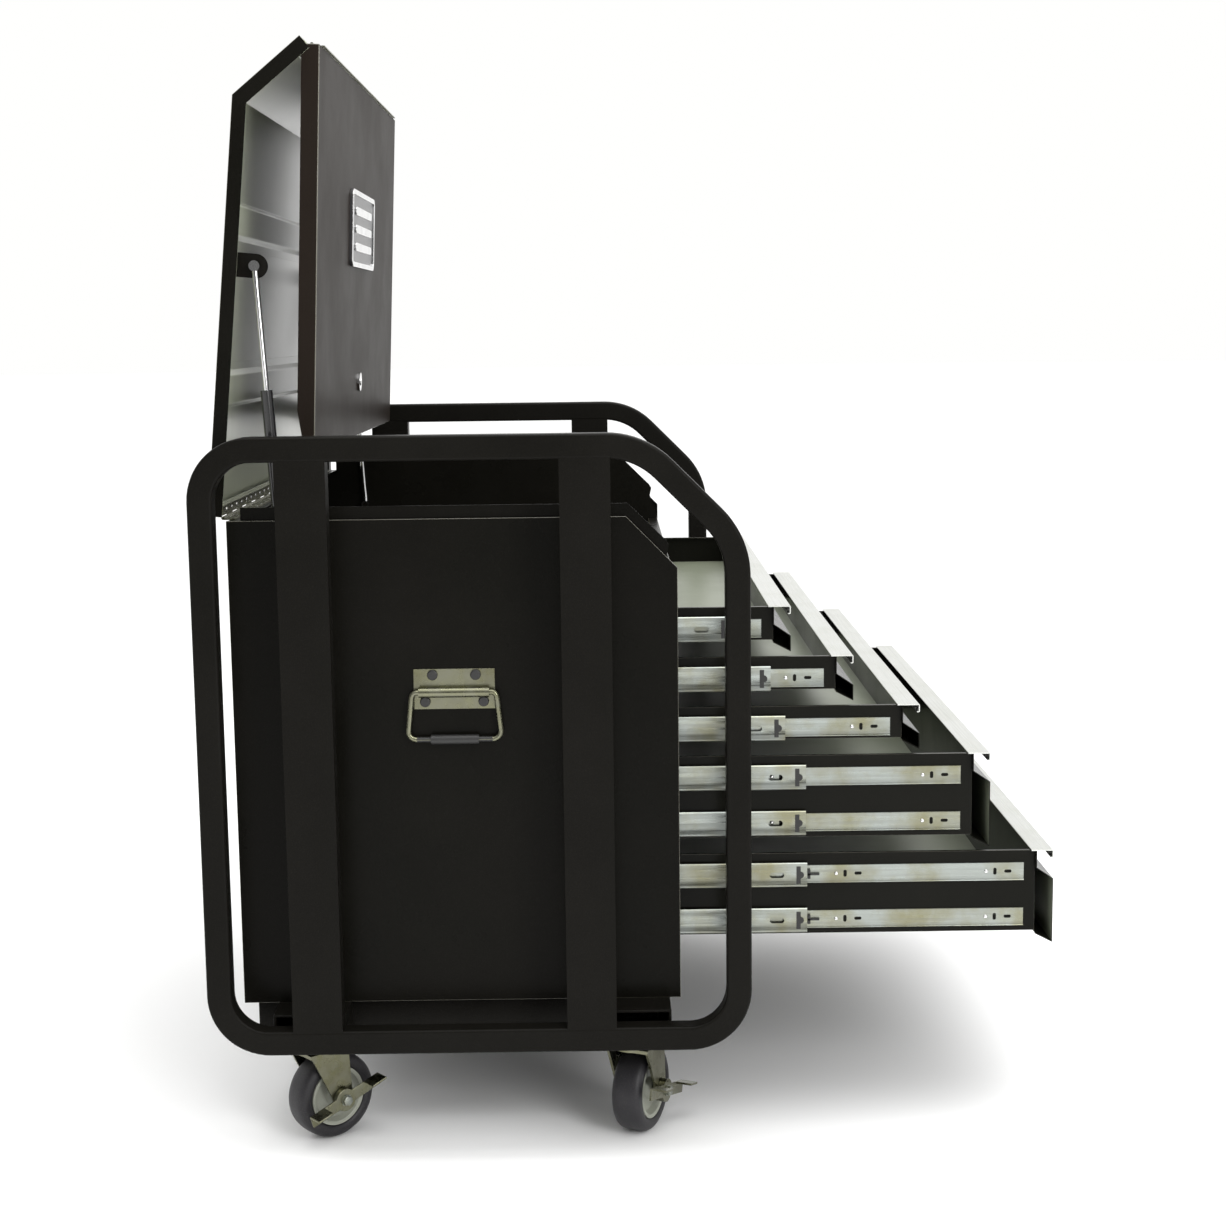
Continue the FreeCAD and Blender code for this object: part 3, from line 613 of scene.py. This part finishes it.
uprightSlot = slotCutter("uprightSlotCutter", slide["uprightSlot"][1], slide["uprightSlot"][2])
levelSlot = slotCutter("levelSlotCutter", slide["levelSlot"][1], slide["levelSlot"][2])
keyhole = slotCutter("keyholeCutter", slide["keyhole"][1], slide["keyhole"][2])


def slideHeights(node, tall):
    low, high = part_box(node)
    middle = tall * mm / 2
    return [high.z - middle] if high.z - low.z < 2 * tall * mm else [high.z - middle, low.z + middle]


def cutOut(piece, cutters):
    for cutter in cutters:
        cut = piece.modifiers.new("slots", "BOOLEAN")
        cut.object = cutter
        cut.solver = "EXACT"
    plainMesh(piece)
    for cutter in cutters:
        bpy.data.objects.remove(cutter)


def stopOutline():
    # the black end stop: an upright bar with a round nose towards the front
    half, tall, neck = stop["half"], stop["tall"], stop["neck"]
    points = [(-stop["heel"], -tall), (half, -tall), (half, -neck)]
    for k in range(7):
        turn = math.radians(-78 + 26 * k)
        points.append((half + stop["nose"][0] * math.cos(turn), stop["nose"][1] * math.sin(turn)))
    return points + [(half, neck), (half, tall), (-stop["heel"], tall)]


def slidePiece(name, node, half, tall, body, cutters):
    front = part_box(node)[0].y
    heights = slideHeights(node, tall)
    bm = bmesh.new()
    for sign in (-1, 1):
        for height in heights:
            member(bm, half, sign, height, front)
    tidy(bm)
    mesh = bpy.data.meshes.new(name)
    bm.to_mesh(mesh)
    bm.free()
    mesh.materials.append(zincSteel)
    piece = bpy.data.objects.new(name, mesh)
    scene.collection.objects.link(piece)
    fields = []
    for k, (head, backs) in enumerate(cutters):
        places = [(sign * (slide["boxHalf"] + half[-1][0] * mm), front + back * mm, height)
                  for sign in (-1, 1) for height in heights for back in backs]
        fields.append(field(f"{name}_cut{k}", places, head, (1, 0, 0), zincSteel))
    cutOut(piece, fields)
    for face in piece.data.polygons:
        face.use_smooth = True
    piece.data.set_sharp_from_angle(angle=math.radians(40))
    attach(piece, body)
    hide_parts(node)
    return heights, front


def slideTrim(number, heights, front, drawerFront):
    # black stops on the middle members, and the release lever where the slide shows one
    bm, levers = bmesh.new(), bmesh.new()
    web = slide["boxHalf"] + slide["middle"][-1][0] * mm
    for sign in (-1, 1):
        for height in heights:
            outline = [Vector((0, -y * mm, z * mm)) for y, z in stopOutline()]
            start = Vector((sign * (web + stop["lift"] * mm), front + stop["behind"] * mm, height))
            extrude(bm, outline, start, (sign * stop["thick"] * mm, 0, 0))
            across = sign * (slide["boxHalf"] + lever["foot"] * mm)
            foot = Vector((across, start.y - lever["ahead"] * mm, height))
            for reach, tall in lever["bars"] if number == lever["drawer"] else ():
                bar = [Vector((0, 0, -tall * mm)), Vector((0, -reach * mm, -tall * mm)),
                       Vector((0, -reach * mm, tall * mm)), Vector((0, 0, tall * mm))]
                extrude(levers, bar, foot, (sign * lever["thick"] * mm, 0, 0))
    place(tidy(bm), f"slide_stops_{number}", blackPlastic, f"middle_runners_{number}", "black_fastener")
    if number == lever["drawer"]:
        place(tidy(levers), f"slide_levers_{number}", blackPlastic, f"drawer_{number}", "black_fastener")
    face = slide["boxHalf"] + (slide["drawer"][-1][0] + slide["metal"] / 2) * mm
    rivets = []
    for sign in (-1, 1):
        places = [(sign * face, drawerFront + back * mm, height) for height in heights
                  for back in slide["rivetSet"]]
        rivets.append(field(f"rivets{number}{sign}", places, rivet, (sign, 0, 0), chromePlate, size=0.95))
    joined(f"slide_rivets_{number}", rivets, f"drawer_{number}")


for number in range(1, 6):
    uprights = [back + slide["uprightSlot"][0] for back in slide["rivetSet"]]
    levels = [back + slide["levelSlot"][0] for back in slide["rivetSet"]]
    _, drawerFront = slidePiece(
        f"drawer_slide_{number}", f"drawer_{number}_runners", slide["drawer"], slide["drawerTall"],
        f"drawer_{number}", [(uprightSlot, uprights), (levelSlot, levels)])
    heights, front = slidePiece(
        f"middle_slide_{number}", f"middle_runners_{number}", slide["middle"], slide["middleTall"],
        f"middle_runners_{number}", [(keyhole, [slide["keyhole"][0]])])
    slideTrim(number, heights, front, drawerFront)
print("slides made")


# casters

caster = {
    # (across, radius) from the hub's bore outwards on one face
    "hub": [(20.5, 6.4), (20.5, 12.0), (19.0, 14.5), (13.0, 17.0), (11.5, 20.0), (12.0, 33.0), (15.5, 36.5),
            (20.0, 38.0), (21.2, 40.0), (21.0, 43.4), (15.0, 44.0)],
    "tyre": [(14.0, 43.0), (19.5, 44.0), (21.8, 46.5), (22.9, 50.5), (22.4, 55.0), (20.2, 59.2), (16.0, 62.2),
             (9.0, 63.3), (3.0, 63.5)]}


def bothSides(profile):
    return [(x * mm, r * mm) for x, r in profile] + [(-x * mm, r * mm) for x, r in profile[::-1]]


for side in sides:
    for end in ends:
        name = end + "_" + side
        wheel = joints["wheel_" + name]
        centre = Vector(wheel["pos_m"])
        axis = Vector(wheel["axis"])
        bm = bmesh.new()
        ring = bothSides(caster["tyre"])
        lathe(bm, ring + ring[:1], centre, axis, 96)
        bmesh.ops.remove_doubles(bm, verts=bm.verts, dist=1e-6)
        tyre = place(tidy(bm), "tyre_" + name, tyreRubber, "wheel_" + name, "tyre_rubber", 50)
        bm = bmesh.new()
        ring = bothSides(caster["hub"])
        lathe(bm, ring + ring[:1], centre, axis, 64)
        bmesh.ops.remove_doubles(bm, verts=bm.verts, dist=1e-6)
        hub = place(tidy(bm), "hub_" + name, hubGrey, "wheel_" + name, "tyre_rubber", 40)
        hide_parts("caster_wheel_" + name)
        softFolds("caster_fork_" + name, stampedZinc, "zinc_steel", bend=2.0, inside=2.5, sheet=1.0)
        softFolds("caster_brake_" + name, stampedZinc, "zinc_steel", bend=1.4, inside=2.0, sheet=1.0)
print("casters made")


# small fasteners

hinge = {"pitch": 40.0 * mm, "screws": 24, "fromPin": 10.5 * mm, "leafGap": 1.0 * mm, "open": 84.4}
pin = Vector(joints["lid_hinge"]["pos_m"])
opening = math.radians(hinge["open"])
leafAlong = Vector((0, -math.cos(opening), math.sin(opening)))
leafOut = Vector((0, -math.sin(opening), -math.cos(opening)))      # the open leaf faces forwards


def screwPlaces(start, along, shift):
    count = hinge["screws"]
    return [start + along * hinge["fromPin"] + Vector(((i - (count - 1) / 2 + shift) * hinge["pitch"], 0, 0))
            for i in range(count)]


upper = screwPlaces(pin - leafOut * hinge["leafGap"], leafAlong, -0.25)
joined("lid_hinge_screws", [field("lidScrews", upper, screw, leafOut, chromePlate, 1.0, 6.28, 4)],
       "lid")
lower = screwPlaces(pin - Vector((0, 0, hinge["leafGap"])), Vector((0, -1, 0)), 0.25)
joined("back_hinge_screws", [field("backScrews", lower, screw, (0, 0, 1), chromePlate, 1.0, 6.28, 7)],
       "cabinet")

brakeNut = {"out": 42.3 * mm, "size": 1.2}
for side in sides:
    for end in ends:
        name = end + "_" + side
        wheel = joints["wheel_" + name]
        out = -Vector(wheel["axis"])
        seat = Vector(wheel["pos_m"]) + out * brakeNut["out"]
        joined("brake_nut_" + name, [field("nut_" + name, [seat], hexNut, out, zincSteel, brakeNut["size"])],
               "brake_" + name)
print("fasteners made")


# badge: a plain framed plate with three raised bars

badge = {"lean": 2.6, "drop": 232.0 * mm, "face": 14.9 * mm, "half": (148.0 * mm, 60.0 * mm),
         "corner": 14.0 * mm,
         "plate": 3.2 * mm, "rim": 8.0 * mm, "raised": 2.6 * mm, "sunk": 0.3 * mm, "bars": 3,
         "pitch": 28.0 * mm, "barHalf": (104.0 * mm, 6.5 * mm), "barEnd": 0.98, "edge": 0.7 * mm}
coverLean = math.radians(badge["lean"])
coverUp = Vector((0, -math.sin(coverLean), math.cos(coverLean)))
coverOut = Vector((0, -math.cos(coverLean), -math.sin(coverLean)))
coverPin = Vector(joints["front_cover_hinge"]["pos_m"])
badgeMiddle = coverPin - coverUp * badge["drop"] + coverOut * badge["face"]


def roundedOutline(half, corner, height=0.0):
    outline = []
    for quarter, (sx, sz) in enumerate(((1, 1), (-1, 1), (-1, -1), (1, -1))):
        for k in range(7):
            turn = math.pi / 2 * (quarter + k / 6)
            across = sx * (half[0] - corner) + corner * math.cos(turn)
            tall = height + sz * (half[1] - corner) + corner * math.sin(turn)
            outline.append(Vector((across, 0, 0)) + coverUp * tall)
    return outline


def frameRing(bm, outer, inner, start, depth):
    loops = []
    for outline, lift in ((outer, 0.0), (outer, 1.0), (inner, 1.0), (inner, 0.0)):
        loops.append([bm.verts.new(start + point + depth * lift) for point in outline])
    count = len(outer)
    for k in range(4):
        here, there = loops[k], loops[(k + 1) % 4]
        for i in range(count):
            j = (i + 1) % count
            bm.faces.new((here[i], here[j], there[j], there[i]))


bm = bmesh.new()
extrude(bm, roundedOutline(badge["half"], badge["corner"]), badgeMiddle, coverOut * badge["plate"])
plate = place(tidy(bm), "badge_plate", badgeFace, "front_cover", "badge", stands=["cover_badge"])
bm = bmesh.new()
face = badgeMiddle + coverOut * (badge["plate"] - badge["sunk"])
inner = (badge["half"][0] - badge["rim"], badge["half"][1] - badge["rim"])
frameRing(bm, roundedOutline(badge["half"], badge["corner"]),
          roundedOutline(inner, badge["corner"] - badge["rim"]), face, coverOut * badge["raised"])
for i in range(badge["bars"]):
    height = (i - (badge["bars"] - 1) / 2) * badge["pitch"]
    extrude(bm, roundedOutline(badge["barHalf"], badge["barHalf"][1] * badge["barEnd"], height), face,
            coverOut * badge["raised"])
tidy(bm)
trim = place(bm, "badge_trim", chromePlate, "front_cover", "badge")
edge = trim.modifiers.new("softEdge", "BEVEL")
edge.width = badge["edge"]
edge.segments = 2
print("badge made")


# carried-over nodes

finishes = {
    "cabinet_runners": zincSteel, "handle_screws": blackOxide,
    "caster_mounts": stampedZinc, "lid_hinge_lower": yellowZinc, "lid_hinge_upper": yellowZinc,
    "cover_hinge_upper": yellowZinc, "cover_hinge_lower": yellowZinc, "lock_housing": chromePlate,
    "lock_barrel": chromePlate,
    "strut_left_lower": strutGloss, "strut_left_upper": chromePlate,
    "strut_right_lower": chromePlate, "strut_right_upper": strutGloss}
for node, material in finishes.items():
    data = nodes[node].data
    data.materials.clear()
    data.materials.append(material)
print("carried-over nodes finished")


# floor, light and camera

studio = {
    "floorRadius": 60.0, "floorShade": 0.93, "behind": 0.16, "beyond": 1.05, "overhead": 1.5,
    # softboxes: name, place, what it points at, size, power
    "lights": [("overhead", (-0.6, -0.6, 3.6), (0, 0, 0.6), (3.0, 3.0), 90.0),
               ("sideFill", (-4.2, -2.6, 2.4), (0, 0, 0.9), (1.6, 2.4), 100.0)],
    "camera": (-3.3311, -0.2151, 1.1734), "yaw": -0.214, "pitch": 8.063, "roll": -0.712, "lens": 58.82}


def pavement():
    bm = bmesh.new()
    bmesh.ops.create_circle(bm, cap_ends=True, radius=studio["floorRadius"], segments=96)
    mesh = bpy.data.meshes.new("studioFloor")
    bm.to_mesh(mesh)
    bm.free()
    material = bpy.data.materials.new("paleFloor")
    material.use_nodes = True
    surface = material.node_tree.nodes["Principled BSDF"]
    surface.inputs["Base Color"].default_value = rgb(*[studio["floorShade"]] * 3)
    surface.inputs["Roughness"].default_value = 0.9
    surface.inputs["Specular IOR Level"].default_value = 0.1
    mesh.materials.append(material)
    floor = bpy.data.objects.new("studioFloor", mesh)
    scene.collection.objects.link(floor)


def softWorld():
    # white all round, brighter overhead and beyond the far side
    world = bpy.data.worlds.new("softWorld")
    scene.world = world
    world.use_nodes = True
    tree = world.node_tree
    background = tree.nodes["Background"]
    where = tree.nodes.new("ShaderNodeTexCoord").outputs["Generated"]
    split = tree.nodes.new("ShaderNodeSeparateXYZ")
    tree.links.new(where, split.inputs[0])
    seen = tree.nodes.new("ShaderNodeLightPath").outputs["Is Camera Ray"]
    level = spread(tree, split.outputs["X"], -0.9, 0.5, studio["behind"], studio["beyond"])
    raised = spread(tree, split.outputs["Z"], 0.25, 0.8, 0.0, 1.0)
    lit = tree.nodes.new("ShaderNodeMix")
    lit.data_type = "FLOAT"
    tree.links.new(raised, lit.inputs[0])
    tree.links.new(level, lit.inputs[2])
    lit.inputs[3].default_value = studio["overhead"]
    pick = tree.nodes.new("ShaderNodeMix")
    pick.data_type = "FLOAT"
    tree.links.new(seen, pick.inputs[0])
    tree.links.new(lit.outputs[0], pick.inputs[2])
    pick.inputs[3].default_value = 1.0
    tree.links.new(pick.outputs[0], background.inputs["Strength"])
    background.inputs["Color"].default_value = rgb(1.0, 1.0, 0.99)


def softbox(name, at, towards, size, power):
    data = bpy.data.lights.new(name, "AREA")
    data.shape = "RECTANGLE"
    data.size, data.size_y = size
    data.energy = power
    light = bpy.data.objects.new(name, data)
    light.location = at
    light.rotation_euler = (Vector(towards) - Vector(at)).to_track_quat("-Z", "Y").to_euler()
    scene.collection.objects.link(light)


def viewCamera():
    yaw, pitch, roll = (math.radians(studio[turn]) for turn in ("yaw", "pitch", "roll"))
    forward = Vector((math.cos(pitch) * math.cos(yaw), math.cos(pitch) * math.sin(yaw), -math.sin(pitch)))
    level = forward.cross(Vector((0, 0, 1))).normalized()
    up = level.cross(forward)
    right = level * math.cos(roll) + up * math.sin(roll)
    top = up * math.cos(roll) - level * math.sin(roll)
    data = bpy.data.cameras.new("sideCamera")
    data.sensor_width = 36.0
    data.lens = studio["lens"]
    camera = bpy.data.objects.new("sideCamera", data)
    camera.matrix_world = Matrix([(right[i], top[i], -forward[i], studio["camera"][i]) for i in range(3)]
                                 + [(0, 0, 0, 1)])
    scene.collection.objects.link(camera)
    scene.camera = camera


pavement()
softWorld()
for light in studio["lights"]:
    softbox(*light)
viewCamera()
scene.view_settings.view_transform = "Standard"
print("studio ready")
